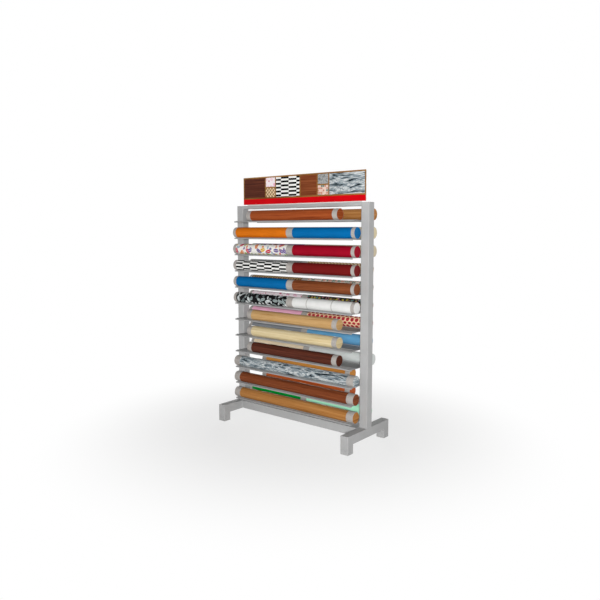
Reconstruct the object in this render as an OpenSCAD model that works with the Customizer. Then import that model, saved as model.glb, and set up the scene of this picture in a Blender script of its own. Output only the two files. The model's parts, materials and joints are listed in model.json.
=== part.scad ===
// Double-sided floor stand for rolls of decorative film.
// Two square-tube posts on bridge-shaped feet carry folded sheet trays.
// Each tray holds film rolls in front of the posts and behind them.
// X runs along the rolls, -Y is the front and Z is up from the floor.

/* [Frame] */
// Side of the square tube of the posts and feet
tube = 56; // [48:1:70]
// Wall of every tube
tube_wall = 2; // [1.5:0.1:4]
// Inner corner radius of every tube
corner_in = 1.5; // [1:0.1:3]
// Clear width between the posts
clear_w = 978; // [800:1:1200]
// Height of the post tops above the floor
post_top = 1480; // [1380:1:1800]
// Thickness of the plates that close tube ends
end_plate = 3; // [2:0.5:6]

/* [Feet] */
// Length of a foot from front to back
foot_l = 454; // [360:1:600]
// Height of a foot's top above the floor
foot_h = 112; // [90:1:150]
// Thickness of a glide under a leg
glide_t = 4; // [2:0.5:8]
// Depth of the plug of a glide inside its leg
glide_plug = 14; // [6:1:24]
// Thickness of a cap on a post
cap_t = 3; // [2:0.5:6]
// Depth of the plug of a cap inside its post
cap_plug = 16; // [8:1:24]

/* [Beams] */
// Depth of the bottom beam from front to back
bottom_beam_d = 114; // [80:1:160]
// Height of the bottom beam
bottom_beam_h = 52; // [36:1:54]
// Height of the top beam
top_beam_h = 22; // [18:0.5:40]

/* [Trays] */
// Sheet thickness of a tray
sheet = 1.5; // [1:0.1:2.5]
// Height of the bottom tray above the bottom beam
tray_rise = 36.5; // [30:0.5:60]
// Depth of the top tray below the post tops
tray_drop = 106; // [100:0.5:140]
// Height of the folded front and rear lips
lip_h = 8; // [5:0.5:14]
// Inner radius of the folds
fold_in = 1; // [0.5:0.1:2]
// Half the distance between the two ribs that a roll lies between
rib_spread = 15; // [11:0.5:18]
// Inner radius of a pressed rib
rib_in = 2.5; // [2:0.1:4]
// Air between a rib and the roll beside it
rib_clear = 0.8; // [0.5:0.1:1.4]
// Width of the tab that fastens a tray to a post
tab_w = 40; // [36:1:44]
// How far that tab reaches below the screw heads
tab_edge = 0.5; // [0.3:0.1:3]
// Width of the relief cut on each side of that tab
tab_relief = 2; // [1:0.5:4]

/* [Rolls] */
// Diameter of a full roll
roll_d = 70.7; // [60:0.1:84]
// Air between a roll and the post behind it
roll_gap = 17.5; // [10:0.5:30]
// How far a roll stands out over its tray's lip
roll_overhang = 2.5; // [0:0.1:6]
// Film width of the small rolls
film_s = 450; // [400:1:460]
// Film width of the medium rolls
film_m = 675; // [600:1:700]
// Film width of the large rolls
film_l = 900; // [800:1:920]
// Collar length of the small rolls
collar_s = 25; // [18:0.5:36]
// Collar length of the medium rolls
collar_m = 37.5; // [24:0.5:48]
// Collar length of the large rolls
collar_l = 50; // [30:0.5:60]
// Outer diameter of the cardboard core
core_d = 50; // [40:0.5:56]
// Wall of the cardboard core
core_wall = 4; // [2:0.5:6]
// Wall of a moulded collar
collar_wall = 2; // [1.5:0.1:3]
// Thickness of a collar's end face
collar_face = 3; // [2:0.1:5]
// Width of the bevel on a collar's outer rim
collar_bevel = 0.8; // [0.3:0.1:1.2]
// Rim round the recess in a collar's end
disc_rim = 1.8; // [1.2:0.1:4]
// Depth of that recess
disc_sink = 0.5; // [0.3:0.1:1]
// Thickness of the printed disc that lies in the recess
disc_t = 0.3; // [0.1:0.05:0.3]
// Air between two rolls that lie end to end
pair_gap = 0.6; // [0.4:0.1:4]
// How far the rear rolls lie off the middle, to one side or the other
rear_shift = 10; // [0:1:20]

/* [Header] */
// Width of the header board
header_w = 1010; // [820:1:1200]
// Height of the header board above its rail
header_h = 184; // [120:1:260]
// Thickness of the header board
header_t = 5; // [3:0.5:10]
// Height of the header rail above the top beam
rail_rise = 8; // [4:0.5:16]
// Wall and floor of the header rail
rail_wall = 1.8; // [1.2:0.1:3]
// Distance from the rail's ends to the posts
rail_end = 18; // [10:1:40]

/* [Screws] */
// Diameter of a screw's shank
screw_d = 5; // [4:0.5:6]
// Length of a screw's shank
screw_l = 14; // [12:1:18]
// Diameter of a screw's domed head
head_d = 9.5; // [8:0.1:10.5]
// Height of a screw's head
head_h = 2.75; // [2.4:0.05:3.5]
// Distance across the flats of the socket in the head
socket_w = 3; // [2.5:0.5:4]
// Depth of that socket
socket_depth = 1.6; // [1:0.1:2]
// Distance between the two screws of a tray's tab
tab_screws = 20; // [16:1:24]
// Distance between the two screws of an end of the bottom beam
bottom_screws = 60; // [40:1:64]
// Distance between the two screws of an end of the top beam
top_screws = 34; // [28:1:36]
// Distance between the two screws under a post
post_screws = 26; // [20:1:32]

/* [Clearances] */
// Air round a shank in its hole
hole_clear = 0.25; // [0.1:0.05:0.5]
// Air beside a screw's head
head_gap = 0.5; // [0.3:0.1:1]
// Air round a head in the hole that lets it in
access_clear = 2; // [1:0.5:3]
// Air round a plug in its tube
plug_fit = 0.2; // [0.1:0.05:0.5]
// Air between a tray's end and the post
tray_fit = 0.25; // [0.1:0.05:0.5]
// Air under whatever lies loose on its seat
seat = 0.3; // [0.2:0.05:0.6]
// Air on each side of the header board and of its rail
rail_fit = 0.2; // [0.1:0.05:0.5]
// Air round the core inside the film and the collars
core_fit = 0.15; // [0.1:0.05:0.4]
// Air between the film's edge and a collar
collar_fit = 0.3; // [0.1:0.05:0.6]
// Air round a printed disc in its recess
disc_fit = 0.2; // [0.1:0.05:0.5]
// Room for glue under a printed disc
disc_glue = 0.1; // [0.05:0.05:0.2]

/* [Hidden] */
$fn = 96;
over = 1;
grey = "#b4b4b4";
pale = "#e6e6e3";
card = "#c9b18c";
steel = "#8f9296";

// Rows from top to bottom: roll size, then the film colours from left to right
FRONT = [
    ["m", "#9c4a22"],
    ["s", "#dd7412", "#006db2"],
    ["s", "#ece6dc", "#9b0522"],
    ["s", "#3a3a3a", "#721616"],
    ["s", "#0a6cb4", "#7f4526"],
    ["s", "#8c8c8c", "#e8e8e6"],
    ["m", "#c8a062"],
    ["m", "#dcc998"],
    ["m", "#552a1e"],
    ["l", "#a9b3b6"],
    ["l", "#7c4023"],
    ["l", "#b07840"]
];
REAR = [
    ["l", "#b27a44"],
    ["l", "#e0d2ae"],
    ["s", "#6d3f86", "#d8c6a0"],
    ["s", "#8d8f90", "#a98862"],
    ["s", "#8c6f4a", "#a8b0a4"],
    ["s", "#ecd9dc", "#3c2c34"],
    ["s", "#e59db1", "#d9a79a"],
    ["s", "#6d7c8c", "#5f9ec6"],
    ["s", "#e8dfc4", "#d5dad8"],
    ["m", "#c08a45"],
    ["m", "#b4582c"],
    ["s", "#008d2e", "#aff5cf"]
];
// Rows whose rear rolls lie to the right of the middle
RIGHTWARD = [1, 2, 3, 9];

rows = len(FRONT);
roll_r = roll_d / 2;
fold_r = fold_in + sheet;
rib_r = rib_in + sheet;
core_r = core_d / 2;
post_x = (clear_w + tube) / 2;
roll_y = tube / 2 + roll_gap + roll_r;
tray_y = roll_y + roll_r - roll_overhang;
tray_l = clear_w - 2 * tray_fit;
tray_low = foot_h + tray_rise;
tray_step = (post_top - tray_drop - tray_low) / (rows - 1);
rib_h = roll_r + seat - sqrt(pow(roll_r, 2) - pow(rib_spread, 2)) - rib_clear;
hole_d = screw_d + 2 * hole_clear;
access_d = head_d + 2 * access_clear;
arch_h = foot_h - tube;
leg_y = (foot_l - tube) / 2;
beam_z = foot_h - tube / 2;
corner_r = corner_in + tube_wall;
bore_w = tube - 2 * tube_wall;
plug_w = bore_w - 2 * plug_fit;
plug_r = corner_in - plug_fit;
rail_w = header_t + 2 * rail_fit + 2 * rail_wall;
rail_l = clear_w - 2 * rail_end;
rail_z = post_top - top_beam_h + tube_wall;
rail_h = post_top + rail_rise - rail_z;
top_screw_z = rail_z + head_gap + head_d / 2;
bottom_screw_z = foot_h - bottom_beam_h / 2;
tab_drop = fold_r + head_gap + head_d / 2;
tab_h = tab_drop + head_d / 2 + tab_edge;
dome_r = (pow(head_d / 2, 2) + pow(head_h, 2)) / (2 * head_h);

function two_digits(n) = str(n < 10 ? "0" : "", n);
function tray_z(row) = tray_low + (rows - row) * tray_step;
function tray_name(row) = str("tray_", two_digits(row));
function film_w(size) = size == "s" ? film_s : size == "m" ? film_m : film_l;
function collar_l_of(size) = size == "s" ? collar_s : size == "m" ? collar_m : collar_l;
function roll_l(size) = film_w(size) + 2 * collar_l_of(size);
function rear_side(row) = len(search(row, RIGHTWARD)) > 0 ? 1 : -1;

// One roll: name, size, film colour and the place of its middle
function pair_x(size, i) = (i == 0 ? -1 : 1) * (roll_l(size) + pair_gap) / 2;
function roll_entry(side, row, kinds, i) = let (
    pair = len(kinds) > 2,
    face = side < 0 ? "front" : "rear",
    end = pair ? (i == 0 ? "_left" : "_right") : "",
    shift = side > 0 ? rear_side(row) * rear_shift : 0,
    x = (pair ? pair_x(kinds[0], i) : 0) + shift
) [
    str(face, "_roll_", two_digits(row), end),
    kinds[0],
    kinds[1 + i],
    [x, side * roll_y, tray_z(row) + seat + roll_r]
];
function rolls_of(side, table) = [
    for (row = [1 : rows])
        for (i = [0 : len(table[row - 1]) - 2])
            roll_entry(side, row, table[row - 1], i)
];
ROLLS = concat(rolls_of(-1, FRONT), rolls_of(1, REAR));

// A box centred on X and Y that stands on z = 0
module standing_box(x, y, z) {
    translate([-x / 2, -y / 2, 0])
        cube([x, y, z]);
}

// Outline of a tube, of its bore or of a plug in it, with round corners
module tube_outline(x, y, r) {
    square([x - 2 * r, y], center = true);
    square([x, y - 2 * r], center = true);
    for (i = [-1, 1], j = [-1, 1])
        translate([i * (x / 2 - r), j * (y / 2 - r)])
            circle(r = r);
}

// A bar of that outline that stands on z = 0
module standing_bar(x, y, z, r) {
    linear_extrude(z)
        tube_outline(x, y, r);
}

// Two bores along Z, apart along Y
module bore_pair(apart, d, l) {
    for (s = [-1, 1])
        translate([0, s * apart / 2, 0])
            cylinder(d = d, h = l);
}

// Turns a shape that points up so that it points outward at the left (-1) or right (1) end
module outward(end) {
    rotate([0, end * 90, 0])
        children();
}

// Square tube with a plate at the foot and bores for the trays and the top beam
module post(end) {
    tube_h = post_top - cap_t - foot_h;
    color(grey)
    translate([end * post_x, 0, 0])
    difference() {
        translate([0, 0, foot_h])
            standing_bar(tube, tube, tube_h, corner_r);
        translate([0, 0, foot_h + end_plate])
            standing_bar(bore_w, bore_w, tube_h, corner_in);
        translate([0, 0, foot_h - over])
            bore_pair(post_screws, hole_d, end_plate + 2 * over);
        for (row = [1 : rows])
            post_bores(end, tab_screws, tray_z(row) - tab_drop);
        post_bores(end, top_screws, top_screw_z);
    }
}

// Two bores through a post's inner wall
module post_bores(end, apart, z) {
    translate([-end * (tube / 2 + over), 0, z])
        outward(end)
            bore_pair(apart, hole_d, tube_wall + 2 * over);
}

// Flat caps whose plugs stay clear of the top beam's screws
module post_caps() {
    plug_x = plug_w - screw_l;
    color(grey)
    for (end = [-1, 1])
        translate([end * post_x, 0, post_top - cap_t]) {
            standing_bar(tube, tube, cap_t, corner_r);
            translate([end * (plug_w - plug_x) / 2, 0, -cap_plug])
                standing_bar(plug_x, plug_w, cap_plug, plug_r);
        }
}

// Carries an outline drawn in X and Z along a foot and past its ends
module along_foot() {
    rotate([90, 0, 0])
        linear_extrude(foot_l + 2 * over, center = true)
            children();
}

// A beam and two legs of one bar, mitred at the corners, with the legs from the given height up
module bridge(side, r, low) {
    difference() {
        intersection() {
            translate([0, 0, low])
                standing_bar(side, 2 * leg_y + side, foot_h, r);
            along_foot()
                tube_outline(side, 2 * beam_z + side, r);
        }
        arch(side, r, low);
    }
}

// The space between the legs and below the beam, wider where their edges are round
module arch(side, r, low) {
    cut_w = side + 2 * over;
    intersection() {
        translate([0, 0, low - over])
            linear_extrude(foot_h)
                difference() {
                    square([cut_w, 2 * (leg_y + r) - side], center = true);
                    for (s = [-1, 1])
                        translate([0, s * leg_y])
                            tube_outline(side, side, r);
                }
        along_foot()
            difference() {
                translate([-cut_w / 2, 0])
                    square([cut_w, beam_z - side / 2 + r]);
                translate([0, beam_z])
                    tube_outline(side, side, r);
            }
    }
}

// Bridge of square tube, open under the legs
module foot(end) {
    color(grey)
    translate([end * post_x, 0, 0])
    difference() {
        bridge(tube, corner_r, glide_t);
        bridge(bore_w, corner_in, glide_t - over);
        translate([0, 0, foot_h - tube_wall - over])
            bore_pair(post_screws, hole_d, tube_wall + 2 * over);
        translate([0, 0, arch_h - over])
            bore_pair(post_screws, access_d, tube_wall + 2 * over);
        translate([-end * (tube / 2 + over), 0, bottom_screw_z])
            outward(end)
                bore_pair(bottom_screws, hole_d, tube_wall + 2 * over);
    }
}

// Moulded glides plugged into the legs
module foot_glides() {
    color(steel)
    for (end = [-1, 1], s = [-1, 1])
        translate([end * post_x, s * leg_y, 0]) {
            standing_bar(tube, tube, glide_t, corner_r);
            translate([0, 0, glide_t])
                standing_bar(plug_w, plug_w, glide_plug, plug_r);
        }
}

// A bar along X, centred on X and Y, that lies on z = 0
module lying_bar(l, d, h, r) {
    translate([-l / 2, 0, h / 2])
        rotate([90, 0, 90])
            linear_extrude(l)
                tube_outline(d, h, r);
}

// Oblong tube along X with closed ends, screw bores there and access holes below
module box_beam(d, h, apart, screw_z) {
    difference() {
        lying_bar(clear_w, d, h, corner_r);
        translate([0, 0, tube_wall])
            lying_bar(clear_w - 2 * end_plate, d - 2 * tube_wall, h - 2 * tube_wall, corner_in);
        for (end = [-1, 1]) {
            translate([end * (clear_w / 2 - end_plate - over), 0, screw_z])
                outward(end)
                    bore_pair(apart, hole_d, end_plate + 2 * over);
            translate([end * (clear_w / 2 - end_plate - access_d), 0, -over])
                bore_pair(apart, access_d, tube_wall + 2 * over);
        }
    }
}

module bottom_beam() {
    color(grey)
    translate([0, 0, foot_h - bottom_beam_h])
        box_beam(bottom_beam_d, bottom_beam_h, bottom_screws, bottom_beam_h / 2);
}

// Top beam, slotted along its upper wall for the header rail
module top_beam() {
    low = post_top - top_beam_h;
    color(grey)
    translate([0, 0, low])
    difference() {
        box_beam(tube, top_beam_h, top_screws, top_screw_z - low);
        translate([0, 0, top_beam_h - tube_wall - over])
            standing_box(rail_l + 2 * rail_fit, rail_w + 2 * rail_fit, tube_wall + 2 * over);
    }
}

// Channel that stands in the top beam's slot and grips the header board
module header_rail() {
    color(pale)
    translate([0, 0, rail_z])
    difference() {
        standing_box(rail_l, rail_w, rail_h);
        translate([0, 0, rail_wall])
            standing_box(rail_l + 2 * over, header_t + 2 * rail_fit, rail_h);
    }
}

// Board with a tongue that goes down into the rail, cut from one sheet
module header_board() {
    tongue = rail_h - rail_wall - seat;
    color("#7a4a2c")
    translate([0, header_t / 2, post_top + rail_rise])
        rotate([90, 0, 0])
            linear_extrude(header_t) {
                translate([-header_w / 2, seat])
                    square([header_w, header_h - seat]);
                translate([-rail_l / 2, -tongue])
                    square([rail_l, tongue + header_h / 2]);
            }
}

// Domed socket screw whose head rests on z = 0 and whose shank points up
module screw() {
    $fn = 48;
    difference() {
        union() {
            intersection() {
                translate([0, 0, dome_r - head_h])
                    sphere(r = dome_r);
                translate([0, 0, -head_h - over])
                    cylinder(r = dome_r, h = head_h + over);
            }
            cylinder(d = screw_d, h = screw_l);
        }
        translate([0, 0, -head_h - over])
            cylinder(d = socket_w / cos(30), h = socket_depth + over, $fn = 6);
    }
}

// Two screws that point outward at one end of the stand
module end_screws(end, seat_x, apart, z) {
    for (s = [-1, 1])
        translate([end * seat_x, s * apart / 2, z])
            outward(end)
                screw();
}

module frame_screws() {
    color(steel)
    for (end = [-1, 1]) {
        for (row = [1 : rows])
            end_screws(end, tray_l / 2 - sheet, tab_screws, tray_z(row) - tab_drop);
        end_screws(end, clear_w / 2 - end_plate, top_screws, top_screw_z);
        end_screws(end, clear_w / 2 - end_plate, bottom_screws, bottom_screw_z);
        for (s = [-1, 1])
            translate([end * post_x, s * post_screws / 2, foot_h - tube_wall])
                screw();
    }
}

// Section of a tray: a folded lip at each edge and a pair of ribs under each roll
module tray_section() {
    difference() {
        union() {
            translate([-tray_y + fold_r, -sheet])
                square([2 * (tray_y - fold_r), sheet]);
            for (s = [-1, 1], t = [-1, 1])
                translate([s * roll_y + t * rib_spread, 0])
                    rib_outside();
        }
        for (s = [-1, 1], t = [-1, 1])
            translate([s * roll_y + t * rib_spread, rib_h - rib_r])
                circle(r = rib_in);
    }
    turned_down(tray_y, lip_h);
    mirror([1, 0])
        turned_down(tray_y, lip_h);
}

// The outer arc of a rib, cut off at the sheet's underside
module rib_outside() {
    intersection() {
        translate([0, rib_h - rib_r])
            circle(r = rib_r);
        translate([-rib_r, -sheet])
            square([2 * rib_r, rib_h + sheet]);
    }
}

// Sheet that turns down at x = edge in a quarter-round fold and hangs to that depth
module turned_down(edge, depth) {
    translate([edge - fold_r, -fold_r])
        intersection() {
            difference() {
                circle(r = fold_r);
                circle(r = fold_in);
            }
            square(fold_r);
        }
    translate([edge - sheet, -depth])
        square([sheet, depth - fold_r]);
}

// Tab folded down from the middle of a tray's end, with its root in the sheet
module tab(end) {
    rotate([90, 0, end > 0 ? 0 : 180])
        linear_extrude(tab_w, center = true) {
            turned_down(tray_l / 2, tab_h);
            translate([tray_l / 2 - fold_r - over, -sheet])
                square([over, sheet]);
        }
}

// Room in the sheet for a tab's fold and the relief cuts beside it
module tab_notch(end) {
    translate([end * (tray_l - fold_r + over) / 2, 0, -sheet - over])
        standing_box(fold_r + over, tab_w + 2 * tab_relief, sheet + 2 * over);
}

// Folded sheet tray with a screw tab at each end
module tray(row) {
    color(grey)
    translate([0, 0, tray_z(row)])
    difference() {
        union() {
            difference() {
                translate([-tray_l / 2, 0, 0])
                    rotate([90, 0, 90])
                        linear_extrude(tray_l)
                            tray_section();
                for (end = [-1, 1])
                    tab_notch(end);
            }
            for (end = [-1, 1])
                tab(end);
        }
        for (end = [-1, 1])
            translate([end * (tray_l / 2 - sheet - over), 0, -tab_drop])
                outward(end)
                    bore_pair(tab_screws, hole_d, sheet + 2 * over);
    }
}

// Section of a moulded collar, from its open end at the film to its sunk end face
module collar_section(l) {
    sleeve_r = core_r + core_fit;
    back = l - collar_face;
    difference() {
        polygon([
            [0, back],
            [sleeve_r, back],
            [sleeve_r, collar_fit],
            [roll_r, collar_fit],
            [roll_r, l - collar_bevel],
            [roll_r - collar_bevel, l],
            [roll_r - disc_rim, l],
            [roll_r - disc_rim, l - disc_sink],
            [0, l - disc_sink]
        ]);
        translate([sleeve_r + collar_wall, 0])
            square([roll_r - sleeve_r - 2 * collar_wall, back]);
    }
}

// Film wound on a cardboard core, with a collar and a printed disc on each end
module roll(entry) {
    size = entry[1];
    film = film_w(size);
    collar = collar_l_of(size);
    disc_r = roll_r - disc_rim - disc_fit;
    core_l = roll_l(size) - 2 * (collar_face + core_fit);
    translate(entry[3])
    rotate([0, 90, 0]) {
        color(entry[2])
            translate([0, 0, -film / 2])
                difference() {
                    cylinder(d = roll_d, h = film);
                    translate([0, 0, -over])
                        cylinder(r = core_r + core_fit, h = film + 2 * over);
                }
        color(card)
            translate([0, 0, -core_l / 2])
                difference() {
                    cylinder(r = core_r, h = core_l);
                    translate([0, 0, -over])
                        cylinder(r = core_r - core_wall, h = core_l + 2 * over);
                }
        for (turn = [0, 180])
            rotate([turn, 0, 0])
                translate([0, 0, film / 2]) {
                    color(pale)
                        rotate_extrude()
                            collar_section(collar);
                    color(entry[2])
                        translate([0, 0, collar - disc_sink + disc_glue])
                            cylinder(r = disc_r, h = disc_t);
                }
    }
}

post(-1);  // left_post
post(1);  // right_post
post_caps();
foot(-1);  // left_foot
foot(1);  // right_foot
foot_glides();
bottom_beam();
top_beam();
header_rail();
header_board();
frame_screws();
for (row = [1 : rows])
    tray(row);
for (r = ROLLS)
    roll(r);
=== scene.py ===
"""Looks of a double-sided floor stand for rolls of decorative film.

Everything is in metres in the part's own frame: X along the rolls, -Y the front, Z up from the floor.
"""

import json
import math

import bpy
import numpy as np
from bpy.props import FloatProperty, FloatVectorProperty, IntProperty, PointerProperty
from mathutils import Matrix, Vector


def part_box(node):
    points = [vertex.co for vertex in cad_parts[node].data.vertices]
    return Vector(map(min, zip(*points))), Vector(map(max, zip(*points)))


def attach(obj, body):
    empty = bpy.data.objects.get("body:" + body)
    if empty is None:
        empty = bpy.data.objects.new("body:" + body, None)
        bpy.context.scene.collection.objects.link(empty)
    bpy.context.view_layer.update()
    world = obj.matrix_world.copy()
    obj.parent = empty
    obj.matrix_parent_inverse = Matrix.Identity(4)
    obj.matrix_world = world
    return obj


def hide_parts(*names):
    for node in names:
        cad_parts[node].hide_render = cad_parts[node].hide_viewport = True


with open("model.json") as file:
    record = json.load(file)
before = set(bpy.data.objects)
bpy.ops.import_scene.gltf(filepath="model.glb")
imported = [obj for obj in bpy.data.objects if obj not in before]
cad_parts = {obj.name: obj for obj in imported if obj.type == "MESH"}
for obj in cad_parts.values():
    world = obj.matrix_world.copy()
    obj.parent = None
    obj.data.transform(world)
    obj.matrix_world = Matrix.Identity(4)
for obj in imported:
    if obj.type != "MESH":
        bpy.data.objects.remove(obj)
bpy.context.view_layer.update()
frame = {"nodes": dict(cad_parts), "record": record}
SLOTS = {part["node"]: part["material_slot"] for part in frame["record"]["subparts"]}
ROLLS = sorted(node for node in SLOTS if "_roll_" in node)
TRAYS = sorted(node for node in SLOTS if node.startswith("tray_"))
TUBES = ("left_post", "right_post", "left_foot", "right_foot", "bottom_beam", "top_beam")

bl_info = {
    "name": "Roll display stand",
    "version": (1, 0, 0),
    "blender": (4, 5, 0),
    "location": "View3D > Sidebar > Stand",
    "description": "Dresses a floor stand for film rolls with its finishes, rolls, header print and studio",
    "category": "Object",
}

# Input and output places of the Mix node's sockets, for colours and then for numbers
FACTOR, FIRST, SECOND, MIXED = 0, 6, 7, 2
FIRST_NUMBER, SECOND_NUMBER, MIXED_NUMBER = 2, 3, 0
# The map of the pieces made here, in metres on their surfaces
FILM_UV = "film_metres"
MM = 0.001
# Nearly all values of a noise lie between the outer two, and most of them between the inner two
NOISE_MIN, NOISE_LOW, NOISE_HIGH, NOISE_MAX = 0.3, 0.35, 0.65, 0.7
# Corners sharper than this are shaded as edges
SHARP = math.radians(32)
# Points on the quarter round of a collar's rim
RIM_POINTS = 5
# Material numbers of a roll, and of the header, where NOTHING marks a place without board
FILM, COLLAR = 0, 1
GROUND, BAND, SWATCH, NOTHING = 0, 1, 2, -1


def linear(hex_colour):
    """An sRGB hex colour as linear red, green, blue and alpha."""
    coded = np.array([int(hex_colour[i : i + 2], 16) for i in (1, 3, 5)]) / 255
    light = np.where(coded <= 0.04045, coded / 12.92, ((coded + 0.055) / 1.055) ** 2.4)
    return (*light.tolist(), 1.0)


def rgba(colour):
    """A colour property as four values."""
    return (*colour, 1.0)


def add(tree, kind, inputs=None, stops=None, **settings):
    """Adds one node. An input is a value or the socket that feeds it, and stops fill a colour ramp."""
    node = tree.nodes.new("ShaderNode" + kind)
    for name, value in settings.items():
        setattr(node, name, value)
    for key, value in (inputs or {}).items():
        if isinstance(value, bpy.types.NodeSocket):
            tree.links.new(value, node.inputs[key])
        else:
            node.inputs[key].default_value = value
    if stops:
        ramp = node.color_ramp.elements
        ramp.remove(ramp[1])
        ramp[0].position, ramp[0].color = stops[0]
        for place, colour in stops[1:]:
            ramp.new(place).color = colour
    return node


def steps(*colours):
    """Ramp stops that give each colour an equal share, with hard changes between them."""
    share = 1 / len(colours)
    soft = share / 50
    stops = [(0.0, colours[0])]
    for i, colour in enumerate(colours[1:], 1):
        stops += [(i * share - soft, colours[i - 1]), (i * share, colour)]
    return stops


def new_material(name):
    """An empty node material and its tree."""
    material = bpy.data.materials.new(name)
    material.use_nodes = True
    material.node_tree.nodes.clear()
    return material, material.node_tree


def millimetres(tree, uv_map=None):
    """Places on the surface in millimetres, from the film's own map or from the object."""
    if uv_map:
        place = add(tree, "UVMap", uv_map=uv_map).outputs["UV"]
    else:
        place = add(tree, "TexCoord").outputs["Object"]
    scale = (1 / MM, 1 / MM, 1 / MM)
    return add(tree, "VectorMath", {0: place, 1: scale}, operation="MULTIPLY").outputs[0]


def surface(tree, colour, relief, values, depth_mm, smooth, rough):
    """A Principled surface: a colour, set values, a bump of a depth, and roughness between two ends.

    The relief gives both the bump and the roughness, so that raised spots are rubbed smooth.
    """
    bump = add(tree, "Bump", {"Strength": 1.0, "Distance": depth_mm * MM, "Height": relief})
    spread = {"Value": relief, "From Min": NOISE_MIN, "From Max": NOISE_MAX}
    spread.update({"To Min": rough, "To Max": smooth})
    rubbed = add(tree, "MapRange", spread).outputs["Result"]
    inputs = {"Base Color": colour, "Normal": bump.outputs["Normal"], "Roughness": rubbed, **values}
    shader = add(tree, "BsdfPrincipled", inputs)
    add(tree, "OutputMaterial", {"Surface": shader.outputs["BSDF"]})


def shaded(colour, share):
    """A colour darkened to a share of its light."""
    return (*[value * share for value in colour[:3]], 1.0)


def clouded(tree, at, colour, share, size, detail=2.0):
    """A colour that drifts down to a share of its light, in clouds of a size in millimetres."""
    cloud = add(tree, "TexNoise", {"Vector": at, "Scale": 1 / size, "Detail": detail}).outputs["Fac"]
    stops = [(NOISE_LOW, shaded(colour, share)), (NOISE_HIGH, colour)]
    return add(tree, "ValToRGB", {"Fac": cloud}, stops).outputs["Color"]


# Printed patterns. Each takes places in millimetres and returns the socket of its colour.


def plain(tree, at, colour):
    """A single printed colour with the faint cloudiness of a long ink run."""
    return clouded(tree, at, colour, share=0.92, size=90)


# In millimetres, the length of a wood print's streaks, and the length and width of its pores. Real pores
# are half a millimetre wide; they are drawn four times as coarse so that they show.
STREAK = 420
PORE = (55, 2)


def wood(tree, at, light, base, dark, width):
    """A veneer print: long streaks along the roll, width in millimetres, and short dark pores.

    The width also picks the slice of the noise, so that no two prints share their streaks.
    """
    stretch = {0: at, 1: (1 / STREAK, 1 / width, 0), 2: (0, 0, width)}
    long = add(tree, "VectorMath", stretch, operation="MULTIPLY_ADD")
    streaks = {"Vector": long.outputs[0], "Scale": 1.0, "Detail": 6.0, "Roughness": 0.6, "Distortion": 0.5}
    grain = add(tree, "TexNoise", streaks).outputs["Fac"]
    tone = add(tree, "ValToRGB", {"Fac": grain}, [(0.36, dark), (0.47, base), (0.54, base), (0.66, light)])
    short = add(tree, "VectorMath", {0: at, 1: (1 / PORE[0], 1 / PORE[1], 0)}, operation="MULTIPLY")
    pores = add(tree, "TexNoise", {"Vector": short.outputs[0], "Scale": 1.0, "Detail": 3.0}).outputs["Fac"]
    few = add(tree, "MapRange", {"Value": pores, "From Min": 0.58, "From Max": 0.75, "To Max": 0.55})
    mixed = {FACTOR: few.outputs["Result"], FIRST: tone.outputs["Color"], SECOND: dark}
    return add(tree, "Mix", mixed, data_type="RGBA").outputs[MIXED]


def checks(tree, at, light, dark, width, height, start):
    """Bars of two colours in turn from a start, width along the roll and height round it."""
    moved = add(tree, "VectorMath", {0: at, 1: (-start, 0, 0)}).outputs[0]
    cells = add(tree, "VectorMath", {0: moved, 1: (1 / width, 1 / height, 0)}, operation="MULTIPLY")
    inputs = {"Vector": cells.outputs[0], "Color1": dark, "Color2": light, "Scale": 1.0}
    return add(tree, "TexChecker", inputs).outputs["Color"]


def tiles(tree, at, glaze, joint, width, height, gap, start):
    """Cloudy glazed tiles in straight rows from a start, with soft joints gap wide between them."""
    moved = add(tree, "VectorMath", {0: at, 1: (-start, 0, 0)}).outputs[0]
    cloud = plain(tree, at, glaze)
    inputs = {"Vector": moved, "Color1": cloud, "Color2": cloud, "Mortar": joint, "Scale": 1.0}
    inputs.update({"Brick Width": width, "Row Height": height})
    inputs.update({"Mortar Size": gap / 2, "Mortar Smooth": 0.6})
    return add(tree, "TexBrick", inputs, offset=0.0).outputs["Color"]


def strewn(tree, at, ground, inks, spacing, length, breadth):
    """Oval leaves of several inks with a bare rib, one in each cell of a random grid, turned at random."""
    scatter = {"Vector": at, "Scale": 1 / spacing, "Randomness": 0.85}
    cell = add(tree, "TexVoronoi", scatter, voronoi_dimensions="2D")
    chance = add(tree, "SeparateColor", {"Color": cell.outputs["Color"]})
    turn = add(tree, "Math", {0: chance.outputs["Red"], 1: math.tau}, operation="MULTIPLY").outputs[0]
    middle = add(tree, "VectorMath", {0: at, 1: cell.outputs["Position"]}, operation="SUBTRACT").outputs[0]
    leaf = add(tree, "VectorRotate", {"Vector": middle, "Angle": turn}, rotation_type="Z_AXIS").outputs[0]
    oval = add(tree, "VectorMath", {0: leaf, 1: (2 / length, 2 / breadth, 0)}, operation="MULTIPLY")
    reach = add(tree, "VectorMath", {0: oval.outputs[0]}, operation="LENGTH").outputs["Value"]
    inside = add(tree, "Math", {0: reach, 1: 1.0}, operation="LESS_THAN").outputs[0]
    across = add(tree, "SeparateXYZ", {0: oval.outputs[0]}).outputs["Y"]
    rib_share = 0.09
    rib = add(tree, "Math", {0: across, 1: 0.0, 2: rib_share}, operation="COMPARE").outputs[0]
    blade = add(tree, "Math", {0: inside, 1: rib}, operation="SUBTRACT", use_clamp=True).outputs[0]
    ink = add(tree, "ValToRGB", {"Fac": chance.outputs["Green"]}, steps(*inks)).outputs["Color"]
    return add(tree, "Mix", {FACTOR: blade, FIRST: ground, SECOND: ink}, data_type="RGBA").outputs[MIXED]


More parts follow.
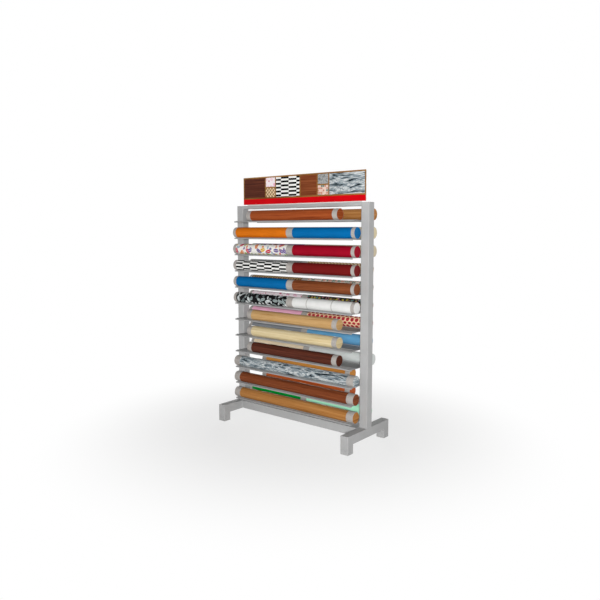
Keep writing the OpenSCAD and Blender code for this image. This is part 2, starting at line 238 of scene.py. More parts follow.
def two_sizes(tree, at, *values):
    """Leaves strewn in two sizes, the smaller ones half as long and between the larger.

    The values are the ground, the inks, and the spacing, length and breadth of the larger leaves.
    """
    ground, *inks, spacing, length, breadth = values
    nearer, shorter, narrower = 0.7, 0.5, 0.6
    moved = add(tree, "VectorMath", {0: at, 1: (spacing / 2, spacing / 3, 0)}).outputs[0]
    small = strewn(tree, moved, ground, inks[::-1], spacing * nearer, length * shorter, breadth * narrower)
    return strewn(tree, at, small, inks, spacing, length, breadth)


def marble(tree, at, deep, shade, pale, white, length, width):
    """Drawn-out clouds and veins, length along the roll and width round it."""
    drift = add(tree, "VectorMath", {0: at, 1: (1 / length, 1 / width, 0)}, operation="MULTIPLY").outputs[0]
    inputs = {"Vector": drift, "Scale": 1.0, "Detail": 7.0, "Roughness": 0.66, "Distortion": 1.1}
    cloud = add(tree, "TexNoise", inputs).outputs["Fac"]
    stops = [(0.38, deep), (0.44, shade), (0.5, pale), (0.54, white), (0.57, pale), (0.61, shade)]
    stops.append((0.68, deep))
    return add(tree, "ValToRGB", {"Fac": cloud}, stops).outputs["Color"]


def weave(tree, at, over, under, gap, pitch, turn):
    """Flat strands that cross over and under in turn, pitch apart and turned by an angle."""
    turned = add(tree, "VectorRotate", {"Vector": at, "Angle": turn}, rotation_type="Z_AXIS").outputs[0]
    scale = (1 / pitch, 1 / pitch, 0)
    cell = add(tree, "VectorMath", {0: turned, 1: scale}, operation="MULTIPLY").outputs[0]
    upper = add(tree, "TexChecker", {"Vector": cell, "Scale": 1.0}).outputs["Fac"]
    inner = add(tree, "VectorMath", {0: cell}, operation="FRACTION").outputs[0]
    place = add(tree, "SeparateXYZ", {0: inner})
    ways = {FACTOR: upper, FIRST_NUMBER: place.outputs["X"], SECOND_NUMBER: place.outputs["Y"]}
    across = add(tree, "Mix", ways).outputs[MIXED_NUMBER]
    off = add(tree, "Math", {0: across, 1: 0.5}, operation="SUBTRACT").outputs[0]
    edge = add(tree, "Math", {0: off}, operation="ABSOLUTE").outputs[0]
    return add(tree, "ValToRGB", {"Fac": edge}, [(0.12, over), (0.36, under), (0.46, gap)]).outputs["Color"]


def mosaic(tree, at, first, second, third, joint, size):
    """Small square stones in three colours at random, in joints a tenth of their size wide."""
    grid = add(tree, "VectorMath", {0: at, 1: (1 / size, 1 / size, 0)}, operation="MULTIPLY").outputs[0]
    cell = add(tree, "VectorMath", {0: grid}, operation="FLOOR").outputs[0]
    chance = add(tree, "TexWhiteNoise", {"Vector": cell}, noise_dimensions="2D").outputs["Value"]
    stone = add(tree, "ValToRGB", {"Fac": chance}, steps(first, second, third)).outputs["Color"]
    inner = add(tree, "VectorMath", {0: grid}, operation="FRACTION").outputs[0]
    centred = add(tree, "VectorMath", {0: inner, 1: (0.5, 0.5, 0)}, operation="SUBTRACT").outputs[0]
    far = add(tree, "VectorMath", {0: centred}, operation="ABSOLUTE").outputs[0]
    place = add(tree, "SeparateXYZ", {0: far})
    rim = add(tree, "Math", {0: place.outputs["X"], 1: place.outputs["Y"]}, operation="MAXIMUM").outputs[0]
    stone_edge = 0.45
    between = add(tree, "Math", {0: rim, 1: stone_edge}, operation="GREATER_THAN").outputs[0]
    return add(tree, "Mix", {FACTOR: between, FIRST: stone, SECOND: joint}, data_type="RGBA").outputs[MIXED]


def spots(tree, at, ground, spot, width, height, length, breadth):
    """Oval spots on a lattice of diamonds that are width along the roll and height round it.

    A square grid turned by 45 degrees gives the lattice. Each cell is turned back to draw its oval.
    """
    eighth = math.pi / 4
    scale = (math.sqrt(2) / width, math.sqrt(2) / height, 0)
    grid = add(tree, "VectorMath", {0: at, 1: scale}, operation="MULTIPLY").outputs[0]
    turned = add(tree, "VectorRotate", {"Vector": grid, "Angle": eighth}, rotation_type="Z_AXIS").outputs[0]
    inner = add(tree, "VectorMath", {0: turned}, operation="FRACTION").outputs[0]
    centred = add(tree, "VectorMath", {0: inner, 1: (0.5, 0.5, 0)}, operation="SUBTRACT").outputs[0]
    back = {"Vector": centred, "Angle": -eighth}
    upright = add(tree, "VectorRotate", back, rotation_type="Z_AXIS").outputs[0]
    shape = (math.sqrt(2) * width / length, math.sqrt(2) * height / breadth, 0)
    oval = add(tree, "VectorMath", {0: upright, 1: shape}, operation="MULTIPLY").outputs[0]
    reach = add(tree, "VectorMath", {0: oval}, operation="LENGTH").outputs["Value"]
    inside = add(tree, "Math", {0: reach, 1: 1.0}, operation="LESS_THAN").outputs[0]
    return add(tree, "Mix", {FACTOR: inside, FIRST: ground, SECOND: spot}, data_type="RGBA").outputs[MIXED]


# Each film: its pattern, its colours in the pattern's order, and its sizes in millimetres. A weave's turn
# comes last among them, in radians.
FILMS = {
    "film_mahogany": (wood, ("#b45d30", "#9c4a22", "#7c3415"), (9,)),
    "film_orange": (plain, ("#dd7412",), ()),
    "film_blue": (plain, ("#0069a9",), ()),
    "film_white_print": (
        two_sizes,
        ("#f1eee8", "#8fae4a", "#dcae35", "#6d5a97", "#c9344a", "#8fa9bd", "#df8142"),
        (50, 46, 24),
    ),
    "film_crimson": (plain, ("#9b0522",), ()),
    "film_bar_check": (checks, ("#f2f2ef", "#060606"), (66, 12.7, 36)),
    "film_dark_red": (plain, ("#721616",), ()),
    "film_brown_oak": (wood, ("#97583a", "#7f4526", "#622f16"), (8,)),
    "film_leaf_print": (two_sizes, ("#08080a", "#f0f2f2", "#94a09f", "#d3d9d9", "#6e7878"), (47, 46, 19)),
    "film_white_tile": (tiles, ("#e6e6e4", "#b9b7b2"), (193, 222, 9, 84)),
    "film_tan_beech": (wood, ("#d6b27f", "#c8a06b", "#b58952"), (11,)),
    "film_cream_maple": (wood, ("#e8d8b3", "#dcc99d", "#cbb381"), (13,)),
    "film_wenge": (wood, ("#6b3828", "#552a1e", "#3a1a12"), (7,)),
    "film_grey_marble": (marble, ("#1b2226", "#6a7880", "#a3adb2", "#e4e5e3"), (130, 26)),
    "film_red_walnut": (wood, ("#90502e", "#7c4023", "#5f2c15"), (10,)),
    "film_light_cherry": (wood, ("#c28c52", "#b07840", "#97612d"), (12,)),
    "film_caramel_oak": (wood, ("#c79259", "#b27a44", "#98632f"), (10.5,)),
    "film_cream": (plain, ("#e0d2ae",), ()),
    "film_purple": (plain, ("#6d3f86",), ()),
    "film_beige": (plain, ("#d3c6aa",), ()),
    "film_grey_stone": (marble, ("#5f6263", "#808384", "#9b9d9d", "#b7b8b6"), (22, 18)),
    "film_cane_weave": (weave, ("#ecd6ae", "#9a6c3c", "#4a2c16"), (18, math.pi / 4)),
    "film_wicker": (weave, ("#c2a273", "#6f5433", "#120d0a"), (22, 0.0)),
    "film_mosaic": (mosaic, ("#e3c4b6", "#6b8072", "#c98672", "#e9e6dc"), (14,)),
    "film_rose_print": (two_sizes, ("#f7ebef", "#cf2f6b", "#eeb4cc", "#f3cbd9", "#e79fbf"), (44, 22, 17)),
    "film_dark_speckle": (two_sizes, ("#1b171a", "#d08e98", "#5d8a80", "#b0a04a", "#8a6a5c"), (26, 20, 13)),
    # Painted light: the pink film is drawn lighter than its own colour, to make up for the shade between
    # the trays
    "film_pink": (plain, ("#f8b8d2",), ()),
    "film_red_lattice": (spots, ("#f3cfa8", "#b2343c"), (34, 58, 25, 27)),
    # Painted light: the slate film is drawn lighter than its own grey, to make up for the shade between the
    # trays
    "film_slate": (plain, ("#8a8e93",), ()),
    # Painted light: the sky film is drawn lighter than its own colour, to make up for the shade between the
    # trays
    "film_sky": (plain, ("#66a4ce",), ()),
    "film_ivory": (plain, ("#f0dcbc",), ()),
    "film_pearl": (plain, ("#d5dad8",), ()),
    # Painted light: the amber pine tones are drawn lighter than the print's own, to make up for the shade
    # between the trays
    "film_amber_pine": (wood, ("#dda057", "#cf8c42", "#b06f2d"), (12.5,)),
    # Painted light: the orange alder tones are drawn lighter than the print's own, to make up for the shade
    # between the trays
    "film_orange_alder": (wood, ("#d2713f", "#be5a2b", "#9b4019"), (9.5,)),
    # Painted light: the green film is drawn lighter than its own colour, to make up for the shade between
    # the trays
    "film_green": (plain, ("#009832",), ()),
    # Painted light: the mint film is drawn lighter than its own colour, to make up for the shade between
    # the trays
    "film_mint": (plain, ("#b5fad5",), ()),
    "header_oak_print": (wood, ("#a97c45", "#8f6534", "#6d4820"), (14,)),
    "header_red_print": (plain, ("#d4000f",), ()),
}
FILM_NAMES = {slot: slot.replace("film_", "").replace("_", " ") for slot in FILMS}


def main_ink(pattern):
    """Place of a pattern's main colour among its colours: wood prints give their light tone first."""
    return 1 if pattern is wood else 0


def printed_film(slot):
    """Self-adhesive PVC film, calendered and printed: satin, with a soft line of light along the roll."""
    name = "printed_pvc_" + slot
    if name in bpy.data.materials:
        return bpy.data.materials[name]
    pattern, colours, sizes = FILMS[slot]
    inks = [linear(colour) for colour in colours]
    inks[main_ink(pattern)] = rgba(getattr(bpy.context.scene.stand_films, slot))
    material, tree = new_material(name)
    at = millimetres(tree, FILM_UV)
    colour = pattern(tree, at, *inks, *sizes)
    # The emboss is finer than a millimetre; it is drawn coarser so that it breaks up the highlight
    emboss_mm = 3
    emboss = add(tree, "TexNoise", {"Vector": at, "Scale": 1 / emboss_mm, "Detail": 2.0}).outputs["Fac"]
    values = {"IOR": 1.53, "Specular IOR Level": 0.06}
    surface(tree, colour, emboss, values, depth_mm=0.05, smooth=0.44, rough=0.58)
    return material


def powder_coat(name, colour):
    """Polyester powder coat on steel, sprayed and stoved: matt grey with a fine orange peel."""
    material, tree = new_material(name)
    at = millimetres(tree)
    coat = clouded(tree, at, colour, share=0.93, size=120, detail=3.0)
    # Shoes and mops scuff the legs, fully at the bottom and no more at the height that stays clean
    clean_mm, scuffed_mm, mark_mm = 70.0, 8.0, 9
    height = add(tree, "SeparateXYZ", {0: at}).outputs["Z"]
    reach = {"Value": height, "From Min": clean_mm, "From Max": scuffed_mm}
    low = add(tree, "MapRange", reach).outputs["Result"]
    rub = add(tree, "TexNoise", {"Vector": at, "Scale": 1 / mark_mm, "Detail": 5.0}).outputs["Fac"]
    marks = add(tree, "MapRange", {"Value": rub, "From Min": 0.52, "From Max": 0.7, "To Max": 0.35})
    scuff = add(tree, "Math", {0: low, 1: marks.outputs["Result"]}, operation="MULTIPLY").outputs[0]
    grime = {FACTOR: scuff, FIRST: coat, SECOND: linear("#6f6d69")}
    worn = add(tree, "Mix", grime, data_type="RGBA").outputs[MIXED]
    peel_mm = 2
    peel = add(tree, "TexNoise", {"Vector": at, "Scale": 1 / peel_mm, "Detail": 2.0}).outputs["Fac"]
    values = {"IOR": 1.5, "Specular IOR Level": 0.06}
    surface(tree, worn, peel, values, depth_mm=0.04, smooth=0.62, rough=0.76)
    return material


def moulded(name, colour, roughness, grain_mm, mottle_mm=35, shade=0.94):
    """Polypropylene from a spark-eroded mould: a fine grain, and a mottle down to a shade of its colour.

    It serves for the extruded rail and the foamed board of PVC too, which have a like grain. Real grain is
    a few tenths of a millimetre; grain_mm is as coarse as it needs to be to show.
    """
    material, tree = new_material(name)
    at = millimetres(tree)
    tint = clouded(tree, at, colour, share=shade, size=mottle_mm)
    grain = add(tree, "TexNoise", {"Vector": at, "Scale": 1 / grain_mm, "Detail": 3.0}).outputs["Fac"]
    values = {"IOR": 1.49, "Specular IOR Level": 0.25}
    spread = 0.06
    surface(tree, tint, grain, values, depth_mm=0.06, smooth=roughness - spread, rough=roughness + spread)
    return material


def zinc_plate(name, colour):
    """Bright zinc on steel screws: a soft bluish metal with cloudy patches."""
    material, tree = new_material(name)
    at = millimetres(tree)
    patch_mm = 4
    cloud = add(tree, "TexNoise", {"Vector": at, "Scale": 1 / patch_mm, "Detail": 3.0}).outputs["Fac"]
    stops = [(0.4, shaded(colour, 0.8)), (0.6, colour)]
    tint = add(tree, "ValToRGB", {"Fac": cloud}, stops).outputs["Color"]
    surface(tree, tint, cloud, {"Metallic": 1.0}, depth_mm=0.02, smooth=0.28, rough=0.42)
    return material


def colour_property(name, hex_colour, description):
    """A colour that a user can change, with a hex value as its default."""
    return FloatVectorProperty(
        name=name, description=description, subtype="COLOR", size=3, min=0.0, max=1.0,
        default=linear(hex_colour)[:3],
    )


def length_property(name, size_mm, description):
    """A length that a user can change, with a default in millimetres."""
    return FloatProperty(name=name, description=description, unit="LENGTH", default=size_mm * MM)


class StandRolls(bpy.types.PropertyGroup):
    """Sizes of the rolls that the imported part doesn't give by itself."""

    facets: IntProperty(name="Facets", description="Flats round a roll", default=96, min=24, max=256)
    collar_share: FloatProperty(
        name="Collar share", description="Length of a collar as a share of its roll", subtype="FACTOR",
        default=0.05, min=0.02, max=0.1,
    )
    core: length_property("Core", 50, "Diameter of the core inside the film")
    wrap: length_property("Film step", 0.3, "Height of the step at the film's free edge")
    collar_gap: length_property("Collar gap", 0.3, "Gap between the film and a collar")
    bevel: length_property("Rim bevel", 0.5, "Round on the outer rim of a collar")
    rim: length_property("Rim", 1.0, "Width of the rim round the recess in a collar's end")
    sink: length_property("Recess", 0.5, "Depth of the recess in a collar's end")
    disc: length_property("Disc", 0.3, "Thickness of the printed disc in the recess")
    disc_gap: length_property("Disc gap", 0.1, "Gap round a printed disc")
    glue: length_property("Glue", 0.1, "Height of a printed disc above the recess")


class StandHeader(bpy.types.PropertyGroup):
    """Layout of the header print."""

    band: length_property("Band", 37, "Height of the plain band along the lower edge")
    margin: length_property("Margin", 9, "Ground left round and between the swatches")
    seat: length_property("Seat", 0.3, "Gap between the rail and the board")


class StandColours(bpy.types.PropertyGroup):
    """Colours of the frame and fittings."""

    frame_coat: colour_property("Frame", "#b3b3b3", "Coat of the posts, feet and beams")
    tray_coat: colour_property("Trays", "#a4a4a4", "Coat of the trays")
    caps: colour_property("Caps", "#aaaaa9", "Caps on the posts")
    glides: colour_property("Glides", "#a9a9a7", "Glides under the feet")
    rail: colour_property("Rail", "#e2e2df", "Header rail")
    collars: colour_property("Collars", "#b2aca7", "Collars on the rolls")
    board: colour_property("Board", "#e9e7e2", "Cut edge of the header board")
    zinc: colour_property("Screws", "#b9bdc2", "Zinc plate on the screws")
    floor: colour_property("Floor", "#e6e6e4", "Studio floor")


class StandFilms(bpy.types.PropertyGroup):
    """Main colour of each film, one property for each row of FILMS."""

    __annotations__ = {
        slot: colour_property(
            FILM_NAMES[slot].capitalize(),
            colours[main_ink(pattern)],
            f"Main colour of the {FILM_NAMES[slot]} print",
        )
        for slot, (pattern, colours, _) in FILMS.items()
    }


class StandStage(bpy.types.PropertyGroup):
    """Camera and lamps of the studio."""

    camera_place: FloatVectorProperty(
        name="Camera", description="Place of the camera", subtype="TRANSLATION", unit="LENGTH",
        default=(2.5246, -3.0868, 1.3163),
    )
    camera_turn: FloatProperty(
        name="Turn", description="Turn of the camera about the upright", subtype="ANGLE", default=0.6835
    )
    camera_dip: FloatProperty(
        name="Dip", description="Tilt of the camera below the horizon", subtype="ANGLE", default=0.1026
    )
    lens: FloatProperty(
        name="Lens", description="Focal length in millimetres", unit="CAMERA", default=36.77, min=10.0
    )
    lamp_reach: FloatProperty(
        name="Lamp distance", description="Distance of the softboxes", unit="LENGTH", default=5.0
    )
    ambient: FloatProperty(
        name="Ambient", description="Level of the light from the walls", subtype="FACTOR",
        default=0.33, min=0.0, max=1.0,
    )


class Shell:
    """Collects surfaces into one mesh with materials and a map in metres."""

    def __init__(self):
        self.points, self.faces, self.maps, self.kinds = [], [], [], []
        self.count = 0

    def keep(self, points, faces, maps, kind):
        """Adds points, faces that index them, the map of each face corner, and a material number."""
        self.points.append(points)
        self.faces += (faces + self.count).tolist()
        self.maps.append(maps.reshape(-1, 2))
        self.kinds += [kind] * len(faces)
        self.count += len(points)

    def turned(self, along, radius, angles, kind, cap_kinds=None):
        """A profile turned about X: the point at (along, radius) goes to (along, r cos t, r sin t).

        Quads join each ring to the next and each angle to the next, the last angle to the first.
        Without cap_kinds the last ring joins the first; with them both end rings are closed flat.
        The map is (along, t times the largest radius), and on a cap (y, z) moved to positive values.
        """
        rings, flats = len(along), len(angles)
        along = np.asarray(along, float)[:, None]
        radius = np.broadcast_to(np.asarray(radius, float).reshape(rings, -1), (rings, flats))
        y, z = radius * np.cos(angles), radius * np.sin(angles)
        points = np.stack(np.broadcast_arrays(along, y, z), -1)
        last = rings if cap_kinds is None else rings - 1
        i, j = np.meshgrid(np.arange(last), np.arange(flats), indexing="ij")
        ahead, beside = (i + 1) % rings, (j + 1) % flats
        corners = [(i, j), (i, beside), (ahead, beside), (ahead, j)]
        faces = np.stack([a * flats + b for a, b in corners], -1).reshape(-1, 4)
        round_way = np.append(angles - angles[0], math.tau) * radius.max()
        ends = [(i, j), (i, j + 1), (ahead, j + 1), (ahead, j)]
        maps = np.stack([np.stack([along[a, 0], round_way[b]], -1) for a, b in ends], 2)
        self.keep(points.reshape(-1, 3), faces, maps, kind)
        if cap_kinds is None:
            return
        first = self.count - rings * flats
        ring = np.arange(flats)
        for start, order, cap in ((0, ring[::-1], cap_kinds[0]), (rings - 1, ring, cap_kinds[1])):
            self.faces.append((first + start * flats + order).tolist())
            self.maps.append(np.stack([y[start, order], z[start, order]], -1) + radius.max())
            self.kinds.append(cap)

    def made(self, name, place, materials):
        """The finished mesh object, its points moved to a place and its object at the origin."""
        mesh = bpy.data.meshes.new(name)
        mesh.from_pydata((np.concatenate(self.points) + np.asarray(place, float)).tolist(), [], self.faces)
        for material in materials:
            mesh.materials.append(material)
        mesh.polygons.foreach_set("material_index", self.kinds)
        layer = mesh.uv_layers.new(name=FILM_UV)
        layer.data.foreach_set("uv", np.concatenate(self.maps).astype(np.float32).ravel())
        mesh.shade_smooth()
        mesh.set_sharp_from_angle(angle=SHARP)
        piece = bpy.data.objects.new(name, mesh)
        bpy.context.scene.collection.objects.link(piece)
        return piece


def collar_profile(sizes, inner, outer, radius):
    """Along and radius of a collar: a small bevel at the film, a quarter round on the rim, the recess."""
    quarter = np.linspace(0, math.pi / 2, RIM_POINTS)
    along = [inner, inner + sizes.bevel / 2]
    reach = [radius - sizes.bevel / 2, radius]
    along += (outer - sizes.bevel * (1 - np.sin(quarter))).tolist()
    reach += (radius - sizes.bevel * (1 - np.cos(quarter))).tolist()
    along += [outer, outer - sizes.sink]
    reach += [radius - sizes.rim, radius - sizes.rim]
    return np.array(along), np.array(reach)


def make_roll(node, collar_plastic):
    """One roll: film wound in a spiral on its core, and a collar with a printed disc on each end.

    The film's radius falls evenly over one turn, and at the free edge, which faces the posts, it goes back
    over a slope as wide as it is high.
    A disc is a short profile of two rings, and the left end is the right end's profile turned about.
    """
    sizes = bpy.context.scene.stand_rolls
    low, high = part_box(node)
    middle = (low + high) / 2
    radius = max(high.y - low.y, high.z - low.z) / 2
    half = (high.x - low.x) / 2
    edge = half - sizes.collar_share * 2 * half
    start = 0.0 if middle.y < 0 else math.pi
    shell = Shell()
    angles = start + np.linspace(0, math.tau - sizes.wrap / radius, sizes.facets + 1)
    spiral = radius - sizes.wrap * np.linspace(0, 1, len(angles))
    core = np.full(len(angles), sizes.core / 2)
    shell.turned([-edge, -edge, edge, edge], np.stack([core, spiral, spiral, core]), angles, FILM)
    flats = np.linspace(0, math.tau, sizes.facets, endpoint=False)
    bed = half - sizes.sink + sizes.glue
    disc = np.array([bed, bed + sizes.disc]), np.full(2, radius - sizes.rim - sizes.disc_gap)
    collar = collar_profile(sizes, edge + sizes.collar_gap, half, radius)
    for (along, reach), kind in ((collar, COLLAR), (disc, FILM)):
        shell.turned(along, reach, flats, kind, cap_kinds=(kind, kind))
        shell.turned(-along[::-1], reach[::-1], flats, kind, cap_kinds=(kind, kind))
    piece = shell.made("dressed_" + node, middle, [printed_film(SLOTS[node]), collar_plastic])
    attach(piece, node)
    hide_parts(node)


# Columns of swatches on the header: share of the width, and the films from top to bottom
HEADER_COLUMNS = (
    (0.20, ("film_wenge",)),
    (0.09, ("film_rose_print", "film_cane_weave")),
    (0.21, ("film_bar_check",)),
    (0.14, ("film_red_walnut",)),
    (0.09, ("film_grey_stone", "film_mosaic")),
    (0.27, ("film_grey_marble",)),
)


def header_swatches(left, right, low, high, half):
    """Boxes of the swatches: (x0, x1, z0, z1, film), in columns with half a margin round each."""
    boxes = []
    x = left
    for share, films in HEADER_COLUMNS:
        width = share * (right - left)
        tall = (high - low) / len(films)
        for row, film in enumerate(films):
            top = high - row * tall
            boxes.append((x + half, x + width - half, top - tall + half, top - half, film))
        x += width
    return boxes


def slab(shell, xs, zs, thick, kinds, edge_kind):
    """A board over the cells of a grid of xs and zs; kinds numbers the material of each cell.

    The front is at y = -thick/2 and the back at y = +thick/2. Where a cell has no neighbour on one of
    its four sides, a strip closes the board from front to back.
    """
    nx, nz = len(xs), len(zs)
    x, z = np.meshgrid(xs, zs, indexing="ij")
    flat = np.stack([x, np.full_like(x, -thick / 2), z], -1).reshape(-1, 3)
    points = np.concatenate([flat, flat * (1, -1, 1)])
    behind = nx * nz
    index = np.arange(behind).reshape(nx, nz)
    cells = np.stack([index[:-1, :-1], index[1:, :-1], index[1:, 1:], index[:-1, 1:]], -1)
    full = kinds != NOTHING
    padded = np.pad(full, 1)
    front = cells[full]
    faces = [front, front[:, ::-1] + behind]
    for side, (right, up) in enumerate(((0, -1), (1, 0), (0, 1), (-1, 0))):
        bare = full & ~padded[1 + right : nx + right, 1 + up : nz + up]
        first, second = cells[bare][:, side], cells[bare][:, (side + 1) % 4]
        faces.append(np.stack([first, first + behind, second + behind, second], -1))
    faces = np.concatenate(faces)
    used, faces = np.unique(faces, return_inverse=True)
    faces = faces.reshape(-1, 4)
    points = points[used]
    shell.keep(points, faces, points[faces][..., (0, 2)], edge_kind)
    # The cells' fronts and backs come first among the faces
    shell.kinds[: 2 * len(front)] = [*kinds[full].tolist()] * 2


# Softboxes: name, bearing from the front towards the right in degrees, height and side in metres, and
# level on a face turned to it. The key stands behind the camera, to light what shows between the trays.
SOFTBOXES = (
    ("key_softbox", 39.3, 1.5, 0.3, 0.86),
    ("left_softbox", -45, 0.4, 1.9, 0.14),
    ("rear_right_softbox", 135, 0.4, 1.9, 0.18),
    ("rear_left_softbox", -140, 0.4, 1.9, 0.8),
)
# The photograph's centre lies a little off the lens's axis
CAMERA_SHIFT = (-0.0025, -0.0117)
# Width in millimetres of the sensor that the focal length is given for
SENSOR = 36.0
# Sine of the elevation at which the walls have darkened to the ceiling, and its share of their light
WALL_TOP, CEILING = 0.6, 0.1
# Radii of the floor's rings in metres, and the flats round each
FLOOR_RINGS = np.array([0.01, 1, 2, 4, 8, 16, 40])
FLOOR_FLATS = 64
# The floor is plain white beyond the outer distance; within the inner one this share of it is white
SHADE_INNER, SHADE_OUTER, SHADE_WHITE = 0.5, 1.7, 0.72
WHITE = (1.0, 1.0, 1.0, 1.0)


def make_camera(scene, stage):
    """The camera as it was fitted to the photograph."""
    data = bpy.data.cameras.new("camera")
    data.sensor_width = SENSOR
    data.lens = stage.lens
    data.shift_x, data.shift_y = CAMERA_SHIFT
    camera = bpy.data.objects.new("camera", data)
    camera.location = stage.camera_place
    camera.rotation_euler = (math.pi / 2 - stage.camera_dip, 0, stage.camera_turn)
    scene.collection.objects.link(camera)
    scene.camera = camera


def make_softbox(reach, name, bearing, height, side, level):
    """A square lamp that faces the stand's middle; level 1 shows a white face as white.

    A lamp of power P at a distance d gives a white face P / (pi d) ** 2.
    """
    data = bpy.data.lights.new(name, "AREA")
    data.shape = "SQUARE"
    data.size = side
    data.energy = level * (math.pi * reach) ** 2
    lamp = bpy.data.objects.new(name, data)
    turn = math.radians(bearing)
    lamp.location = (reach * math.sin(turn), -reach * math.cos(turn), height)
    lamp.rotation_euler = (math.pi / 2, 0, turn)
    bpy.context.scene.collection.objects.link(lamp)


def seen_directly(tree):
    """One where a camera, glossy or transmission ray asks, and nought for the light on surfaces."""
    path = add(tree, "LightPath").outputs
    glossy = add(tree, "Math", {0: path["Is Camera Ray"], 1: path["Is Glossy Ray"]}, operation="MAXIMUM")
    inputs = {0: glossy.outputs[0], 1: path["Is Transmission Ray"]}
    return add(tree, "Math", inputs, operation="MAXIMUM").outputs[0]


def make_surround(scene, ambient):
    """A white surround that lights the stand as pale walls under a dark ceiling, at the ambient level."""
    world = bpy.data.worlds.new("surround")
    world.use_nodes = True
    tree = world.node_tree
    tree.nodes.clear()
    height = add(tree, "SeparateXYZ", {0: add(tree, "TexCoord").outputs["Generated"]}).outputs["Z"]
    fade = {"Value": height, "From Max": WALL_TOP, "To Min": ambient, "To Max": CEILING * ambient}
    walls = add(tree, "MapRange", fade).outputs["Result"]
    dim = add(tree, "Background", {"Color": WHITE, "Strength": walls}).outputs[0]
    bright = add(tree, "Background", {"Color": WHITE, "Strength": 1.0}).outputs[0]
    mixed = add(tree, "MixShader", {0: seen_directly(tree), 1: dim, 2: bright}).outputs[0]
    add(tree, "OutputWorld", {"Surface": mixed})
    scene.world = world


def make_floor(colour):
    """A round floor, rings by angles on a grid, that turns to plain white away from the stand."""
    angles = np.linspace(0, math.tau, FLOOR_FLATS, endpoint=False)
    rings = FLOOR_RINGS[:, None]
    points = np.stack(np.broadcast_arrays(rings * np.cos(angles), rings * np.sin(angles), 0.0), -1)
    i, j = np.meshgrid(np.arange(len(rings) - 1), np.arange(FLOOR_FLATS), indexing="ij")
    beside = (j + 1) % FLOOR_FLATS
    corners = [(i, j), (i + 1, j), (i + 1, beside), (i, beside)]
    faces = np.stack([a * FLOOR_FLATS + b for a, b in corners], -1).reshape(-1, 4).tolist()
    faces.append(list(range(FLOOR_FLATS)))
    mesh = bpy.data.meshes.new("floor")
    mesh.from_pydata(points.reshape(-1, 3).tolist(), [], faces)
    material, tree = new_material("studio_floor")
    at = add(tree, "TexCoord").outputs["Object"]
    reach = add(tree, "VectorMath", {0: at}, operation="LENGTH").outputs["Value"]
    fade = {"Value": reach, "From Min": SHADE_INNER, "From Max": SHADE_OUTER, "To Min": SHADE_WHITE}
    far = add(tree, "MapRange", fade, interpolation_type="SMOOTHSTEP").outputs["Result"]
    glow = add(tree, "Math", {0: far, 1: seen_directly(tree)}, operation="MULTIPLY").outputs[0]
    matt = add(tree, "BsdfDiffuse", {"Color": colour}).outputs[0]
    white = add(tree, "Emission", {"Color": WHITE, "Strength": 1.0}).outputs[0]
    mixed = add(tree, "MixShader", {0: glow, 1: matt, 2: white}).outputs[0]
    add(tree, "OutputMaterial", {"Surface": mixed})
    mesh.materials.append(material)
    floor = bpy.data.objects.new("floor", mesh)
    bpy.context.scene.collection.objects.link(floor)


def finish_node(node, material):
    """Gives a CAD node its one material."""
    materials = frame["nodes"][node].data.materials
    materials.clear()
    materials.append(material)


class STAND_OT_frame(bpy.types.Operator):
    """Gives the posts, feet and beams their powder coat, the fittings their plastics and the screws zinc"""

    bl_idname = "stand.frame"
    bl_label = "Finish the frame"

    def execute(self, context):
        colours = context.scene.stand_colours
        coat = powder_coat("powder_coated_steel", rgba(colours.frame_coat))
        finishes = {node: coat for node in TUBES}
        finishes["post_caps"] = moulded(
            "moulded_polypropylene_caps", rgba(colours.caps), roughness=0.5, grain_mm=1.5
        )
        finishes["foot_glides"] = moulded(
            "moulded_polypropylene_glides", rgba(colours.glides), roughness=0.6, grain_mm=1.5
        )
        finishes["header_rail"] = moulded(
            "extruded_pvc_rail", rgba(colours.rail), roughness=0.4, grain_mm=2.5
        )
        finishes["frame_screws"] = zinc_plate("zinc_plated_steel", rgba(colours.zinc))
        for node, material in finishes.items():
            finish_node(node, material)
        return {"FINISHED"}


class STAND_OT_trays(bpy.types.Operator):
    """Gives the folded sheet trays their powder coat"""

    bl_idname = "stand.trays"
    bl_label = "Finish the trays"

    def execute(self, context):
        coat = powder_coat("powder_coated_sheet", rgba(context.scene.stand_colours.tray_coat))
        for node in TRAYS:
            finish_node(node, coat)
        return {"FINISHED"}


class STAND_OT_rolls(bpy.types.Operator):
    """Makes the film rolls with their collars and printed end discs"""

    bl_idname = "stand.rolls"
    bl_label = "Make the rolls"

    def execute(self, context):
        # Collars are moulded from reground plastic, which leaves a fine mottle
        collar_plastic = moulded(
            "moulded_polypropylene_collars", rgba(context.scene.stand_colours.collars),
            roughness=0.48, grain_mm=2.0, mottle_mm=7, shade=0.84,
        )
        for node in ROLLS:
            make_roll(node, collar_plastic)
        return {"FINISHED"}


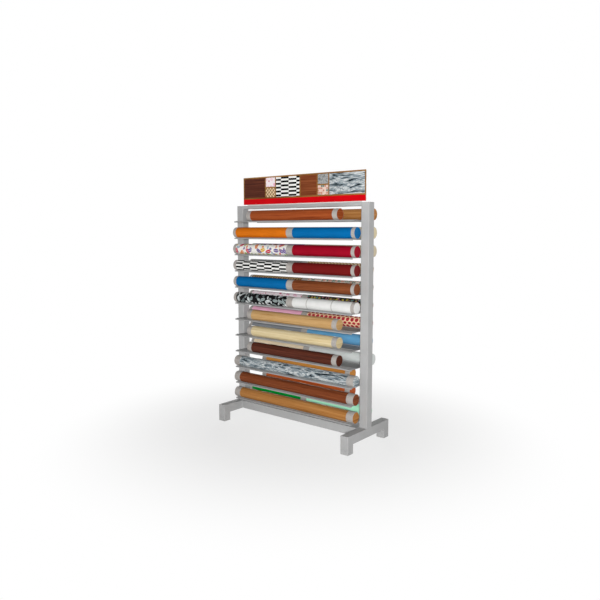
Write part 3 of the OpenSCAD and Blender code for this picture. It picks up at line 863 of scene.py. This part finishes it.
class STAND_OT_header(bpy.types.Operator):
    """Makes the header board with its printed swatches, plain band and tongue"""

    bl_idname = "stand.header"
    bl_label = "Make the header"

    def execute(self, context):
        sizes = context.scene.stand_header
        low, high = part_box("header_board")
        rail_low, rail_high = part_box("header_rail")
        thick = high.y - low.y
        base = rail_high.z + sizes.seat
        band_top = base + sizes.band
        half = sizes.margin / 2
        boxes = header_swatches(low.x + half, high.x - half, band_top + half, high.z - half, half)
        films = sorted({film for *_, film in boxes})
        materials = [printed_film(slot) for slot in ("header_oak_print", "header_red_print", *films)]
        colour = rgba(context.scene.stand_colours.board)
        materials.append(moulded("foamed_pvc_board", colour, roughness=0.6, grain_mm=1.0))
        core = len(materials) - 1
        # Lines of the grid, where those within a micrometre of each other are one
        across = [low.x, high.x, rail_low.x, rail_high.x]
        upward = [low.z, base, band_top, high.z]
        for x0, x1, z0, z1, _ in boxes:
            across += [x0, x1]
            upward += [z0, z1]
        xs, zs = np.unique(np.round(across, 6)), np.unique(np.round(upward, 6))
        x, z = np.meshgrid((xs[:-1] + xs[1:]) / 2, (zs[:-1] + zs[1:]) / 2, indexing="ij")
        kinds = np.where(z < band_top, BAND, GROUND)
        for x0, x1, z0, z1, film in boxes:
            kinds[(x > x0) & (x < x1) & (z > z0) & (z < z1)] = SWATCH + films.index(film)
        kinds[z < base] = core
        kinds[(z < base) & ((x < rail_low.x) | (x > rail_high.x))] = NOTHING
        shell = Shell()
        slab(shell, xs, zs, thick, kinds, core)
        piece = shell.made("header_print", (0, (low.y + high.y) / 2, 0), materials)
        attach(piece, "header")
        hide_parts("header_board")
        return {"FINISHED"}


class STAND_OT_stage(bpy.types.Operator):
    """Sets up the pale floor, the softboxes, the white surround and the camera"""

    bl_idname = "stand.stage"
    bl_label = "Set the stage"

    def execute(self, context):
        scene = context.scene
        scene.view_settings.view_transform = "Standard"
        stage = scene.stand_stage
        make_floor(rgba(scene.stand_colours.floor))
        make_surround(scene, stage.ambient)
        for softbox in SOFTBOXES:
            make_softbox(stage.lamp_reach, *softbox)
        make_camera(scene, stage)
        return {"FINISHED"}


class STAND_PT_sidebar(bpy.types.Panel):
    """Lists the steps that dress the stand, and the sizes and colours that they use"""

    bl_idname = "STAND_PT_sidebar"
    bl_label = "Roll display stand"
    bl_space_type = "VIEW_3D"
    bl_region_type = "UI"
    bl_category = "Stand"

    def draw(self, context):
        for operator in OPERATORS:
            self.layout.operator(operator.bl_idname)
        for name, group in GROUPS.items():
            box = self.layout.box()
            settings = getattr(context.scene, name)
            for field in group.__annotations__:
                box.prop(settings, field)


GROUPS = {
    "stand_rolls": StandRolls,
    "stand_header": StandHeader,
    "stand_colours": StandColours,
    "stand_films": StandFilms,
    "stand_stage": StandStage,
}
OPERATORS = (STAND_OT_stage, STAND_OT_frame, STAND_OT_trays, STAND_OT_rolls, STAND_OT_header)


def register():
    """Registers the settings, the steps and the sidebar."""
    for name, group in GROUPS.items():
        bpy.utils.register_class(group)
        setattr(bpy.types.Scene, name, PointerProperty(type=group))
    for operator in OPERATORS:
        bpy.utils.register_class(operator)
    bpy.utils.register_class(STAND_PT_sidebar)


def unregister():
    """Takes the sidebar, the steps and the settings away again."""
    bpy.utils.unregister_class(STAND_PT_sidebar)
    for operator in reversed(OPERATORS):
        bpy.utils.unregister_class(operator)
    for name, group in reversed(GROUPS.items()):
        delattr(bpy.types.Scene, name)
        bpy.utils.unregister_class(group)


def main():
    """Dresses the stand step by step."""
    register()
    bpy.ops.stand.stage()
    bpy.ops.stand.frame()
    bpy.ops.stand.trays()
    bpy.ops.stand.rolls()
    bpy.ops.stand.header()


if __name__ == "__main__":
    main()
